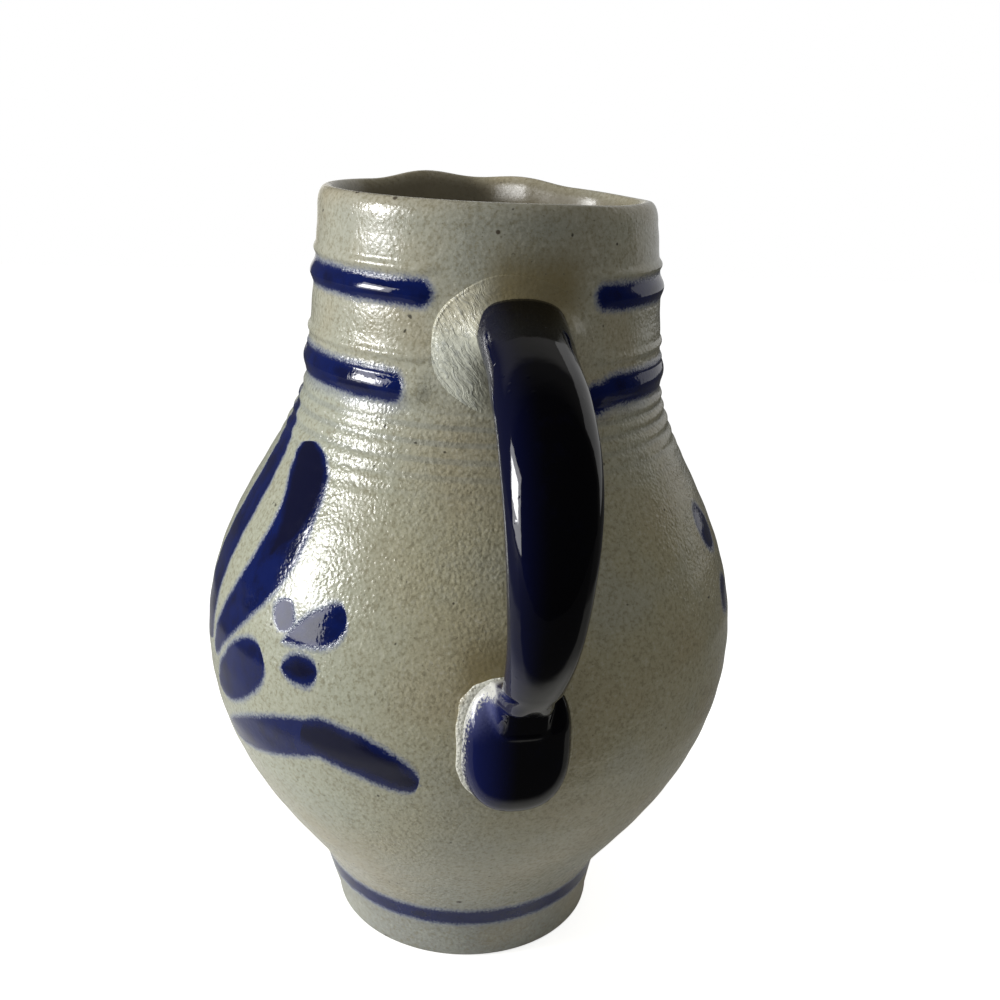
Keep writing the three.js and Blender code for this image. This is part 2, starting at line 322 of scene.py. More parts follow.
def lowered(degrees, level):
    """A level near the lip, moved down by the lip's drop."""
    return level - lip_drop(degrees) * rise(level, jug_height - spout_length, jug_height)


# %% [markdown]
# ## The thrown body
# The body is one skin: from the middle of the wire-cut base out to the foot, up the wall, over the
# lip and down the inside to the floor. It is a grid of angle against a list of (radius, level) rows,
# dense where the ribs are and wide on the belly. Turning a real profile like this keeps the wall
# thickness true, which a Solidify would only copy from one side.

# %% Rows of the profile
columns = 240
foot_rounding = 1.4
base_radii = np.linspace(2.2, foot_radius - foot_rounding, 15)
wire_marks = 0.05 * np.cos(base_radii * 2.1) ** 2 * (base_radii < 29)
base_levels = 0.5 * (1.0 - rise(base_radii, 23.0, 30.0)) + wire_marks
edge_turn = np.linspace(0.0, np.pi / 2.0, 5)
edge_radii = foot_radius - foot_rounding + foot_rounding * np.sin(edge_turn)
edge_levels = foot_rounding - foot_rounding * np.cos(edge_turn)
stretches = [(2.0, 12.5, 9), (13.0, 19.5, 15), (20.5, 112.0, 74), (113.0, neck_level, 62),
             (neck_level + 0.4, 173.0, 96), (174.0, lip_start, 9)]
outside_levels = np.concatenate([np.linspace(*stretch) for stretch in stretches])
print("rows outside:", len(outside_levels))


def inside_profile():
    """The outside moved in square to itself by the wall, then a fillet into the floor."""
    upper = np.array([(lip_radius, lip_start), (neck_radius, neck_level)])
    line = np.vstack([upper, above_belly[::-1][1:], below_belly[::-1][1:]])
    along = unit(np.gradient(line, axis=0))
    moved = line + wall * np.stack([along[:, 1], -along[:, 0]], axis=-1)
    kept = moved[moved[:, 1] > foot_height + 6.0]
    turn = kept[-1]
    toe = turn[0] - (turn[1] - floor_thickness) * 0.63
    floor_curve = bezier(turn, (toe + 1.5, floor_thickness + 3.0), (toe - 3.0, floor_thickness),
                         (toe - 14.0, floor_thickness), 30)
    whole = np.vstack([kept, floor_curve[1:], [(1.5, floor_thickness - 0.1)]])
    return follow(whole, np.linspace(0.0, run_along(whole)[-1], 96))


# %% Skin of the thrown body
def all_round(rows):
    """One value for each row, repeated for every angle."""
    return rows[:, None] * np.ones(columns)


def throw_body():
    """Rings from the base's middle over the lip to the floor's middle, each bent by the spout's pull."""
    degrees = np.arange(columns) * 360.0 / columns - 180.0 + 180.0 / columns
    base = place(degrees, all_round(base_radii), all_round(base_levels))
    edge = place(degrees, all_round(edge_radii), all_round(edge_levels))
    level = all_round(outside_levels)
    outside = place(degrees, outer_radius(degrees, level), lowered(degrees, level))
    over = all_round(np.linspace(0.0, np.pi, 20)[1:-1])
    below_lip = np.full(over.shape, lip_start)
    lip_half = wall / 2.0
    lip_level = lip_start + lip_depth * np.sin(over) ** 0.9
    lip_middle = outer_radius(degrees, below_lip) - lip_half
    tipped = spout_pull(degrees, lip_level) - spout_pull(degrees, below_lip)
    lip = place(degrees, lip_middle + lip_half * np.cos(over) + tipped, lowered(degrees, lip_level))
    inner = inside_profile()
    inner_level = all_round(inner[:, 1])
    marks = throwing_marks(degrees, inner_level) * rise(inner_level, 12.0, 30.0)
    fingers = 0.22 * np.cos(2.0 * np.pi * inner_level / 8.5 + np.radians(degrees))
    fingers *= between(inner_level, 14.0, 40.0, 150.0, 172.0)
    inner_radius = inner[:, :1] + spout_pull(degrees, inner_level) + marks + fingers
    inside = place(degrees, inner_radius, lowered(degrees, inner_level))
    rings = np.concatenate([base, edge, outside, lip, inside])
    inner_share = np.concatenate([np.zeros(len(base) + len(edge) + len(outside)),
                                  rise(np.linspace(0.0, 1.0, len(lip)), 0.5, 1.0), np.ones(len(inside))])
    return closed_skin("jug_body", rings, (lean(0.0), 0.0, 0.55), (lean(7.0), 0.0, floor_thickness - 0.1),
                       inner_share)


jug_body = throw_body()
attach(jug_body, "root")
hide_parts("thrown_body")

# %% [markdown]
# ## The strap of the handle
# The handle is pulled from a lump like a tongue of clay: wide and thick at the root, thinner towards
# the tail. It arches out of the neck, hangs clear of the shoulder and comes down onto the belly,
# where its tail is pressed flat with the thumb into a rounded pad.
# One sweep makes both. The rings follow the arch square to its middle line, turn level above the
# belly, and there their top becomes a height over the wall: the larger of the strap's ridge and the
# pad's low dome.

# %% Middle line of the strap
root_level = 159.2
root_dip = math.radians(23.2)
reach_radius = belly_radius + 15.8
reach_level = belly_level + 32.9
tail_radius = belly_radius + 0.2
tail_level = belly_level - 3.0
root_radius = float(wall_radius(root_level))
root_point = np.array([root_radius, root_level])
leaving = np.array([math.cos(root_dip), -math.sin(root_dip)])
middle_line = np.vstack([
    np.linspace(root_point - 2.4 * leaving, root_point, 20)[:-1],
    bezier(root_point, root_point + 22.1 * leaving, (reach_radius, reach_level + 30.5),
           (reach_radius, reach_level), 400)[:-1],
    bezier((reach_radius, reach_level), (reach_radius, reach_level - 15.0),
           (tail_radius, tail_level + 12.5), (tail_radius, tail_level), 300),
])
line_run = run_along(middle_line)
print("length of the strap's middle line:", round(line_run[-1], 1))


def ahead_of(run):
    """Unit direction of the middle line, from its points 0.4 before and 0.4 beyond a run."""
    return unit(follow(middle_line, run + 0.4) - follow(middle_line, run - 0.4))


def run_down_to(level):
    """The run at which the line, past its highest point, comes down to a level."""
    return np.interp(-level, -middle_line[40:, 1], line_run[40:])


def strap_half_sizes(run):
    """Half the width of the strap after a run of millimetres, and its depth outside and inside the
    middle line: the fingers round the outside, the palm keeps the inside flatter."""
    half_width = 9.65 - 0.35 * swelling(run, 16.0, 10.0) - 4.4 * rise(run, 36.0, 104.0)
    outside = 5.8 + 1.2 * rise(run, 2.0, 26.0) - 2.6 * rise(run, 56.0, 98.0)
    inside = 4.6 - 1.0 * rise(run, 20.0, 60.0)
    return half_width, outside, inside


# %% Pad of the handle's tail
pad_half = 11.65
pad_above = 16.5
pad_below = 13.0
square_above = 3.0
square_below = 2.3
join_level = 97.3
dent_radius = 69.2


def pad_sizes(level):
    """The pad's reach upwards or downwards, and how square its outline is there."""
    above = level > tail_level
    return np.where(above, pad_above, pad_below), np.where(above, square_above, square_below)


def pad_reach(level):
    """Half width of the pad's outline at a level, 0 beyond its ends."""
    up, square = pad_sizes(level)
    share = np.clip(np.abs(level - tail_level) / up, 0.0, 1.0)
    return pad_half * (1.0 - share ** square) ** (1.0 / square)


def pad_dome(across, level):
    """Height of the pad over the wall: thick at its blunt lower end, thin at the top, steep at the
    outline."""
    up, square = pad_sizes(level)
    out = np.abs(across / pad_half) ** square + np.abs((level - tail_level) / up) ** square
    out = np.clip(out, 0.0, 1.0) ** (1.0 / square)
    crown = 4.6 + 1.9 * (1.0 - rise(level, 63.0, 80.0)) - 2.0 * rise(level, 82.0, 90.0)
    return crown * (1.0 - out ** 3.3) ** (1.0 / 3.3)


# %% Rings of the handle
def rounded(turn, squareness):
    """Across and up on a rounded square of size 1, as the signed powers of cosine and sine."""
    power = 2.0 / squareness
    across = np.sign(np.cos(turn)) * np.abs(np.cos(turn)) ** power
    up = np.sign(np.sin(turn)) * np.abs(np.sin(turn)) ** power
    return across, up


def drift(level):
    """Sideways wander of the strap, as it was set a little askew."""
    return -1.4 + 1.75 * rise(level, 90.0, 146.0)


def strap_rings(turn):
    """Rings square to the middle line, turning level as they come down to the belly."""
    run = np.arange(0.0, float(run_down_to(join_level)), 0.8)[:, None]
    centre = follow(middle_line, run[:, 0])
    ahead = ahead_of(run[:, 0])
    outward = np.stack([-ahead[:, 1], ahead[:, 0]], axis=-1)
    level_share = 1.0 - rise(centre[:, 1], join_level + 11.0, join_level + 20.0)
    level_share *= run[:, 0] > 40.0
    tilted = unit(outward * (1.0 - level_share[:, None]) + np.array([1.0, 0.0]) * level_share[:, None])
    slant = np.sum(tilted * outward, axis=1)[:, None]
    half_width, outside, inside = strap_half_sizes(run)
    across, up = rounded(turn, 2.1)
    lift = np.where(up > 0, outside, inside) * up / slant
    radius = centre[:, :1] + lift * tilted[:, :1]
    level = centre[:, 1:] + lift * tilted[:, 1:]
    return half_width * across, radius, level


def thumb_dent(across, level):
    """1 inside the small square dent that the thumb left where the strap runs into the pad."""
    return between(level, 82.2, 83.2, 90.2, 90.9) * (1.0 - rise(np.abs(across - 0.4), 3.8, 4.7))


def tail_rings(turn):
    """Level rings from the join down to the pad's lower end, as heights over the wall."""
    upper = np.linspace(join_level, tail_level, 84)[:, None]
    around = np.linspace(0.0, np.pi / 2.0, 46)[1:-1, None]
    lower = tail_level - pad_below * np.sin(around) ** (2.0 / square_below)
    level = np.vstack([upper, lower])
    run = run_down_to(level)
    centre = follow(middle_line, run[:, 0])[:, :1]
    slant = np.abs(ahead_of(run[:, 0])[:, 1:])
    half_width, outside, inside = strap_half_sizes(run)
    wall_here = wall_radius(level)
    front = float((centre + outside / slant)[0, 0])
    crest = [(front, join_level), (front - 4.4, join_level - 7.0), (70.8, 88.0), (dent_radius, 79.0)]
    front_line = bezier(*crest, 80)
    ridge = np.interp(-level, -front_line[:, 1], front_line[:, 0]) - wall_here
    under = centre - inside / slant - wall_here
    past = np.clip((tail_level - level) / pad_below, 0.0, 1.0)
    ridge = ridge * rise(level, 76.0, 85.0)
    attached = 1.0 - rise(level, 91.0, join_level - 0.4)
    sunk = -0.5
    middle = (centre - wall_here) * (1.0 - attached) + sunk * attached
    lowest = under * (1.0 - attached) + sunk * attached
    reach = np.where(level < tail_level + pad_above, pad_reach(level), 0.0)
    half = soft_max(half_width * (1.0 + 0.1 * attached) * (1.0 - past), reach, 0.8 * (1.0 - past))
    across, up = rounded(turn, 2.1)
    x = half * across
    boxy = np.abs(up)
    bell = np.exp(-0.693 * np.abs(x / (1.08 * half_width)) ** 5.0)
    strap_top = (middle + (ridge - middle) * boxy) * (1.0 - attached) + ridge * bell * attached
    top = soft_max(strap_top, pad_dome(x, level) - 0.05, 2.0 * attached)
    edge = (1.0 - np.abs(across) ** 14) ** 0.5
    top = middle + (top - middle) * (edge * attached + 1.0 - attached)
    top = top - thumb_dent(x, level) * np.clip(top - (dent_radius - wall_here), 0.0, None)
    height = np.where(up > 0, top, middle - (middle - lowest) * boxy)
    return x, wall_here + height, level + 0.0 * height


# %% Skin of the handle
def pull_handle():
    """All rings together; near the belly the flat sections wrap round the wall."""
    sides = 88
    turn = full_turn(sides)[None, :]
    parts = [strap_rings(turn), tail_rings(turn)]
    x, radius, level = (np.vstack([part[i] for part in parts]) for i in range(3))
    wrap = 1.0 - rise(level, 91.5, 105.5)
    angle = x / radius
    wrapped_x = radius * np.sin(angle)
    wrapped_y = -radius * np.cos(angle)
    out_x = x * (1.0 - wrap) + wrapped_x * wrap + drift(level)
    out_y = -radius * (1.0 - wrap) + wrapped_y * wrap
    rings = np.stack([out_x, out_y, level], axis=-1)
    end = rings[-1].mean(axis=0)
    return closed_skin("handle", rings, rings[0].mean(axis=0), (end[0], end[1], tail_level - pad_below))


handle = pull_handle()
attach(handle, "root")
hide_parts("handle_strap")

# %% [markdown]
# ## Clay worked in at the root
# A handle that is only stuck on drops off in the kiln, so soft clay is pressed into the corner and
# wiped out over the neck. It leaves a thin pat with slanting finger ridges, and a raised edge at the
# upper left, where the thumb stopped. The pat is a disc of rings round the strap: its height over
# the wall is a fillet at the strap, a thin layer, an edge, and then it sinks into the wall.

# %% Pat round the root
pat_turn = -1.5
pat_level = 155.4
pat_half = 18.1
pat_tall = 14.7


def pat_height(x, level, out):
    """Fillet beside the strap, plus a thin layer with a crisp upper left edge and slanting ridges."""
    section = np.sqrt(((x - 1.8) / 9.8) ** 2 + ((level - root_level) / 6.4) ** 2)
    away = np.clip(section - 1.0, 0.0, None) * 7.0
    fillet = (3.0 - 2.6 * rise(level - root_level, -1.0, 5.0)) * np.exp(-away / 1.7)
    left = rise(-x, 1.0, 11.0) * (1.0 - rise(level, 163.0, 170.0))
    right = 0.35 * rise(x, 7.0, 14.0) * (1.0 - rise(level, 160.0, 168.0))
    layer = 0.15 + (0.1 + 2.0 * np.clip(1.0 - out, 0.0, 1.0) ** 0.8) * left
    upper_left = left * rise(level, 152.0, 160.0)
    edge = (0.2 * upper_left + 0.2 * right) * swelling(out, 0.96, 0.035)
    ridges = 0.07 * left * np.cos((x * 0.83 + (level - pat_level) * 0.56) * 3.4) * rise(away, 0.5, 3.0)
    crisp = 1.0 - rise(out, 0.8 + 0.14 * upper_left, 1.0)
    soft = 1.0 - rise(out, 0.5, 1.0)
    body = (layer + ridges) * (left * crisp + (1.0 - left) * soft)
    return fillet * crisp + body + edge - 0.25 * rise(out, 0.97, 1.0)


def pat_spots(out):
    """Across, level and angle of the points at some shares of the way out to the pat's edge."""
    sides = 180
    turn = full_turn(sides)[None, :]
    uneven = 1.0 + 0.015 * np.cos(3.0 * turn + 1.0) + 0.01 * np.cos(7.0 * turn)
    x = out * pat_half * np.cos(turn) * uneven
    level = pat_level + out * pat_tall * np.sin(turn) * uneven
    return x, level, pat_turn + np.degrees(x / wall_radius(level))


def press_root_clay():
    """Rings from the middle out to the edge over the wall, then back underneath it."""
    out = np.concatenate([np.linspace(0.06, 0.86, 46), np.linspace(0.87, 1.0, 18)])[:, None]
    x, level, degrees = pat_spots(out)
    top = place(degrees, outer_radius(degrees, level) + pat_height(x, level, out), level)
    buried = 1.2
    _, level, degrees = pat_spots(np.array([0.7, 0.35, 0.06])[:, None])
    under = place(degrees, outer_radius(degrees, level) - buried, level)
    rings = np.concatenate([under[::-1], top[::-1]])
    return closed_skin("root_clay", rings, under[-1].mean(axis=0), top[0].mean(axis=0))


root_clay = press_root_clay()
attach(root_clay, "root")
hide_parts("root_luting")

# %% [markdown]
# ## The bead round the pressed tail
# Slip squeezes out from under the pad as it is pressed down and is wiped to a low bead. It is a
# small half-round section carried round the pad's outline, so it is a ring with no ends.

# %% Bead round the tail
def wipe_tail_bead():
    """A low half oval just outside the pad's outline, wide on the left and thin elsewhere."""
    sides, section_sides = 180, 22
    sweep = full_turn(sides)[:, None]
    section = full_turn(section_sides)[None, :]
    left = swelling(sweep, 2.75, 1.35)
    beyond = 0.35 + (1.1 + 0.3 * np.cos(5.0 * sweep) + 0.15 * np.cos(17.0 * sweep)) * left
    offset = -0.7 + (beyond + 0.7) * 0.5 * (1.0 + np.cos(section))
    above = np.sin(sweep) > 0
    across, up = rounded(sweep, np.where(above, square_above, square_below))
    x = (pad_half + offset) * across
    level = tail_level + (np.where(above, pad_above, pad_below) + offset) * up
    height = np.where(np.sin(section) > 0, 0.2 + 0.2 * left, 0.5) * np.sin(section)
    degrees = np.degrees((x + drift(level) - lean(level)) / wall_radius(level))
    rings = place(degrees, wall_radius(level) + height, level)[:, ::-1]
    return closed_skin("tail_bead", rings)


tail_bead = wipe_tail_bead()
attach(tail_bead, "root")
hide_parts("tail_luting")

# %% [markdown]
# ## Writing materials as sums
# A material is a network of small nodes. Drawn by hand it is a tangle; written as arithmetic it reads
# like a recipe. A Wire holds one socket, and adding or multiplying wires adds the Math node for it.
# Every other kind of node comes from the one method of Recipe below.

# %% Wires and recipes
def arithmetic(operation, swapped=False):
    """A method of Wire that adds one Math node on two values."""
    def method(self, other):
        values = (other, self) if swapped else (self, other)
        return self.recipe.math(operation, *values)
    return method


class Wire:
    """One value inside a node tree. Arithmetic on wires adds Math nodes."""

    def __init__(self, recipe, socket):
        self.recipe = recipe
        self.socket = socket

    __add__ = arithmetic("ADD")
    __sub__ = arithmetic("SUBTRACT")
    __mul__ = arithmetic("MULTIPLY")
    __truediv__ = arithmetic("DIVIDE")
    __pow__ = arithmetic("POWER")
    __radd__ = arithmetic("ADD", swapped=True)
    __rsub__ = arithmetic("SUBTRACT", swapped=True)
    __rmul__ = arithmetic("MULTIPLY", swapped=True)

    def __abs__(self):
        return self.recipe.math("ABSOLUTE", self)


class Recipe:
    """A node tree being written."""

    def __init__(self, tree):
        self.tree = tree
        tree.nodes.clear()

    def node(self, kind, settings=None, sockets=None, give=0):
        """Adds a node, makes its settings, fills its sockets with values or wires, and gives an output."""
        new = self.tree.nodes.new(kind)
        for name, value in (settings or {}).items():
            if name == "stops":
                fill_stops(new.color_ramp.elements, value)
            else:
                setattr(new, name, value)
        for name, value in (sockets or {}).items():
            socket = new.inputs[name]
            if isinstance(value, Wire):
                self.tree.links.new(value.socket, socket)
            else:
                socket.default_value = (*value, 1.0) if socket.type == "RGBA" else value
        return Wire(self, new.outputs[give]) if len(new.outputs) else None

    def math(self, operation, *values):
        """A Math node on one, two or three values."""
        return self.node("ShaderNodeMath", {"operation": operation}, dict(enumerate(values)))

    def rise(self, value, start, end):
        """0 before start, 1 after end, smooth between."""
        sockets = {"Value": value, "From Min": start, "From Max": end}
        return self.node("ShaderNodeMapRange", {"interpolation_type": "SMOOTHSTEP"}, sockets)

    def between(self, value, start, full, fading, end):
        """1 from full to fading, and 0 before start and after end."""
        return self.rise(value, start, full) * self.rise(value, end, fading)

    def blend(self, share, first, second):
        """The first colour where share is 0, the second where it is 1."""
        return self.node("ShaderNodeMix", {"data_type": "RGBA"}, {0: share, 6: first, 7: second}, 2)

    def largest(self, *values):
        """The largest of some values."""
        best = values[0]
        for value in values[1:]:
            best = self.math("MAXIMUM", best, value)
        return best

    def noise(self, where, size, detail=2.0, roughness=0.5):
        """Soft noise from 0 to 1 whose patches are about size millimetres across."""
        sockets = {"Vector": where, "Scale": 1.0 / size, "Detail": detail, "Roughness": roughness}
        return self.node("ShaderNodeTexNoise", {}, sockets)

    def cells(self, where, size):
        """Distance from the middle of rounded cells about size millimetres across."""
        sockets = {"Vector": where, "Scale": 1.0 / size, "Smoothness": 0.6}
        return self.node("ShaderNodeTexVoronoi", {"feature": "SMOOTH_F1"}, sockets)


def fill_stops(elements, stops):
    """Sets a colour ramp's stops, given as (position, colour)."""
    while len(elements) < len(stops):
        elements.new(1.0)
    for element, (position, colour) in zip(elements, stops):
        element.position = position
        element.color = (*colour, 1.0)


# %% [markdown]
# ## Where on the jug
# Patterns need to know where they are. Object coordinates in millimetres give the level straight
# away, and the arc tangent of x and y gives the angle round the jug. Angles for the brushwork are
# counted from the spout, so that no stroke crosses the line where the angle jumps.

# %% Coordinates in millimetres
class Where:
    """Object coordinates in millimetres, with level, angles and some shared noises."""

    def __init__(self, recipe):
        spot = recipe.node("ShaderNodeTexCoord", {}, {}, 3)
        self.mm = recipe.node("ShaderNodeVectorMath", {"operation": "SCALE"}, {0: spot, "Scale": 1.0 / MM})
        split = recipe.node("ShaderNodeSeparateXYZ", {}, {0: self.mm})
        outputs = split.socket.node.outputs
        self.x, self.y, self.level = (Wire(recipe, outputs[i]) for i in range(3))
        degree = 180.0 / math.pi
        self.round = recipe.math("ARCTAN2", self.x, 0.0 - self.y) * degree
        self.front = recipe.math("ARCTAN2", self.x, self.y) * degree
        self.radius = recipe.math("SQRT", self.x * self.x + self.y * self.y)
        self.tilted = self.level - self.x / self.radius * rib_tilt


# %% [markdown]
# ## Salt glaze over grey stoneware
# Salt vapour settles on the clay as a thin clear glass with the skin of an orange: rounded grains
# about a millimetre wide. The clay shows through, grey where the fire was smoky, tan where the flame
# touched it, with pin-sized iron specks. On the left, towards the window, it is greyed by a painted
# sheen, and the neck round the handle's side is darkened by painted shade. The colour is mixed from
# slow and fine noises, and the grain is a bump, since it is finer than any sensible mesh.

# %% Bare stoneware colour
iron_spots = [
    ((-31.2, -19.3, 183.7), 0.8),
    ((-24.4, -28.0, 183.4), 0.7),
    ((-5.0, -38.1, 178.2), 0.6),
    ((-7.6, -38.8, 20.9), 0.9),
    ((17.0, -60.0, 96.0), 0.5),
    ((-30.0, -54.0, 61.0), 0.5),
]


def fired_clay(r, at, clouds):
    """Grey to tan by level and in clouds, greyed by a painted sheen on the left, darkened by painted shade
    on the neck, and mottled.
    """
    ground = r.node("ShaderNodeValToRGB", {"stops": [
        (0.0, (0.27, 0.28, 0.265)),
        (0.085, (0.28, 0.29, 0.265)),
        (0.12, (0.41, 0.41, 0.345)),
        (0.3, (0.40, 0.38, 0.27)),
        (0.62, (0.39, 0.365, 0.245)),
        (0.76, (0.405, 0.40, 0.315)),
        (0.97, (0.395, 0.395, 0.32)),
        (1.0, (0.40, 0.36, 0.26)),
    ]}, {0: at.level / jug_height})
    warm = r.blend(r.rise(clouds, 0.42, 0.72) * 0.5, ground, (0.37, 0.31, 0.19))
    grey = r.blend(r.rise(clouds, 0.5, 0.3) * 0.45, warm, (0.37, 0.38, 0.33))
    # Greyer on the left, the window side: a painted sheen of the window's light.
    window_side_sheen = r.rise(at.x, -12.0, -40.0) * r.between(at.level, 35.0, 60.0, 140.0, 165.0)
    grey = r.blend(window_side_sheen * 0.55, grey, (0.39, 0.43, 0.365))
    # Darker on the neck round the handle's side: painted shade where the window's light falls off.
    neck_painted_shade = r.rise(abs(at.round - 2.0), 42.0, 18.0) * r.rise(at.level, 160.0, 170.0)
    grey = r.blend(neck_painted_shade * 0.45, grey, (0.27, 0.275, 0.235))
    mottle = r.noise(at.mm, 1.0, 3.0, 0.7)
    freckled = r.blend(r.rise(mottle, 0.48, 0.66) * 0.58, grey, (0.21, 0.19, 0.12))
    return r.blend(r.rise(mottle, 0.47, 0.30) * 0.35, freckled, (0.54, 0.53, 0.45))


def spot_share(r, at, middle, size):
    """1 within half the size of a point on the jug, 0 beyond the size."""
    away = r.node("ShaderNodeVectorMath", {"operation": "DISTANCE"}, {0: at.mm, 1: middle}, 1)
    return r.rise(away, size, size * 0.5)


def clay_colour(r, at):
    """Fired clay, stained near the handle, darker in the finger rings and specked with iron."""
    clouds = r.noise(at.mm, 22.0, 3.0, 0.55)
    clay = fired_clay(r, at, clouds)
    handle_side = r.rise(abs(at.round - 5.0), 20.0, 8.0)
    above_root = handle_side * r.between(at.level, 159.0, 165.0, 168.0, 179.0)
    by_tail = r.between(at.round, -15.0, -9.0, -5.0, -2.0) * r.between(at.level, 86.0, 91.0, 95.0, 104.0)
    tan = r.blend(r.largest(above_root * 0.85, by_tail * 0.75), clay, (0.22, 0.18, 0.085))
    wander = r.math("COSINE", at.level / 9.0 + at.round * (math.pi / 180.0)) * 0.5
    groove = r.math("COSINE", (at.tilted - first_ring + wander) * (2.0 * math.pi / ring_spacing))
    in_groove = r.rise(groove, 0.0, -0.9) * r.between(at.level, 121.0, 135.0, 140.5, 142.5)
    ringed = r.blend(in_groove * (0.08 + r.rise(clouds, 0.35, 0.6) * 0.22), tan, (0.17, 0.20, 0.22))
    speck = r.noise(at.mm, 2.3, 1.0, 0.4)
    specked = r.blend(r.rise(speck, 0.76, 0.80) * 0.85, ringed, (0.045, 0.04, 0.03))
    tiny = r.noise(at.mm, 0.55, 1.0, 0.4)
    peppered = r.blend(r.rise(tiny, 0.70, 0.78) * 0.5, specked, (0.09, 0.08, 0.055))
    pits = r.largest(*[spot_share(r, at, middle, size) for middle, size in iron_spots])
    return r.blend(pits * 0.9, peppered, (0.06, 0.045, 0.03))


def grain(r, at):
    """Height of the orange-peel skin in millimetres: domed cells and ripples, stronger in patches."""
    peel = r.cells(at.mm, 0.9) * -0.115
    ripple = r.noise(at.mm, 0.66, 1.5, 0.5) * 0.12
    swell = r.noise(at.mm, 4.5, 1.0, 0.5) * 0.14
    patches = r.rise(r.noise(at.mm, 9.0, 1.0, 0.5), 0.35, 0.65) * 0.5 + 0.6
    high = r.rise(at.level, 85.0, 115.0) * 0.35 + 0.7 - r.rise(at.level, 150.0, 170.0) * 0.5
    return (peel + ripple) * patches * high + swell


# %% [markdown]
# ## Brushwork in cobalt
# The painter loads a brush with cobalt and slip and lays leaves and dots in one touch each. A
# stroke is a bent line with a width that swells and tapers along it. For each point the formula asks
# how far along the stroke it is, how far to the side, and how wide the brush was there. The answer
# is the distance inside the stroke's edge in millimetres, so a painting is the largest of them.

# %% One stroke of the brush
arc = belly_radius * math.pi / 180.0


def stroke(r, at, around, start, end, bend, skew, width, swell, taper):
    """Distance inside the edge. Along t: the line bends by 4t(1-t)(bend + skew(t-1/2)) to the side, and
    the half width is t^swell (1-t)^taper, scaled to be the given width at its widest."""
    x0, x1 = start[0] * arc, end[0] * arc
    length = math.hypot(x1 - x0, end[1] - start[1])
    ex, ez = (x1 - x0) / length, (end[1] - start[1]) / length
    across = around * arc
    t = across * (ex / length) + (at.level * (ez / length) - (x0 * ex + start[1] * ez) / length)
    inside_t = r.math("MINIMUM", r.largest(t, 0.0), 1.0)
    back = 1.0 - inside_t
    side = across * -ez + (at.level * ex - (start[1] * ex - x0 * ez))
    bent = side - inside_t * back * (inside_t * (4.0 * skew) + (4.0 * bend - 2.0 * skew))
    widest = swell / (swell + taper)
    scale = width / (widest ** swell * (1.0 - widest) ** taper)
    half = (inside_t ** swell) * (back ** taper) * scale
    return half - abs(bent) - abs(t - inside_t) * length


def dab(r, at, around, middle, half_across, half_up, slant):
    """A dot of paint: an oval, leaning by slant."""
    across = (around - middle[0]) * arc
    up = at.level - middle[1] - across * slant
    out = r.math("SQRT", (across / half_across) ** 2.0 + (up / half_up) ** 2.0)
    return (1.0 - out) * min(half_across, half_up)


# %% The painted leaves
# Each leaf: start, end, bend, skew, width, swell, taper. Each dot: middle, half across, half up, slant.
left_leaves = [
    ((-99.5, 80.0), (-84.0, 138.0), 9.1, 25.7, 7.4, 0.27, 0.42),
    ((-104.4, 80.0), (-118.0, 125.0), 7.3, 8.8, 6.0, 0.6, 0.3),
    ((-105.2, 79.0), (-124.5, 128.3), 6.7, 13.8, 4.7, 0.44, 0.3),
    ((-106.2, 71.4), (-125.8, 87.8), 0.3, -1.2, 6.4, 0.57, 0.35),
    ((-107.1, 60.8), (-147.5, 76.2), -0.5, -1.1, 4.9, 0.5, 0.36),
    ((-130.8, 92.7), (-144.3, 102.0), 0.5, 1.7, 4.2, 0.83, 0.35),
    ((-129.1, 94.6), (-130.7, 101.5), -0.2, -1.1, 3.8, 0.68, 0.72),
]
thick_leaves = [
    ((-118.6, 105.7), (-114.8, 130.3), 6.8, -2.5, 8.7, 0.71, 0.31),
    ((-136.5, 74.2), (-160.7, 67.5), -1.6, 1.2, 5.4, 0.17, 0.28),
    ((-131.3, 87.1), (-139.9, 89.3), 0.1, 1.2, 3.6, 0.58, 0.41),
]
right_dots = [((118.6, 110.8), 5.8, 5.6, 0.2), ((116.6, 94.4), 4.9, 4.5, 0.0)]
spray_leaves = [
    ((-1.0, 34.0), (1.0, 98.0), 0.0, 0.0, 1.7, 0.2, 0.3),
    ((3.0, 44.0), (58.0, 56.0), 7.0, -4.0, 6.0, 0.8, 0.25),
    ((3.0, 58.0), (50.0, 100.0), -8.0, 4.0, 6.6, 0.8, 0.25),
    ((8.0, 92.0), (27.0, 128.0), -4.0, 2.0, 6.2, 0.6, 0.3),
    ((0.0, 96.0), (0.0, 134.0), 0.0, 0.0, 6.4, 0.6, 0.5),
    ((62.0, 62.0), (76.0, 108.0), 6.0, 0.0, 6.0, 0.7, 0.3),
]
spray_dots = [((36.0, 72.0), 4.4, 3.6, 0.1), ((60.0, 118.0), 4.6, 4.6, 0.0)]


def brushwork(r, at):
    """Leaves and dots on the left, a mirrored spray on the front, and two dots on the right. Also
    given is the distance inside those leaves where the brush left the thickest paint."""
    mirrored = abs(at.front)
    thick = r.largest(*[stroke(r, at, at.front, *leaf) for leaf in thick_leaves])
    leaves = [stroke(r, at, at.front, *leaf) for leaf in left_leaves]
    leaves += [stroke(r, at, mirrored, *leaf) for leaf in spray_leaves]
    dots = [dab(r, at, at.front, *dot) for dot in right_dots]
    dots += [dab(r, at, mirrored, *dot) for dot in spray_dots]
    return r.largest(thick, *leaves, *dots), thick


# %% Bands of cobalt
def band(r, at, level, half, left_end, right_end, sag=0.0):
    """A painted rib from one side of the handle round to the other, with rounded ends. The brush sags
    a little where it starts on the right."""
    past_end = r.largest(-1.0 * (at.round + left_end), at.round - right_end)
    short = r.largest(half - past_end * 0.73, 0.0)
    off = at.tilted - level + r.between(at.round, 0.0, 10.0, right_end, right_end + 16.0) * sag
    return half - r.math("SQRT", off * off + short * short)


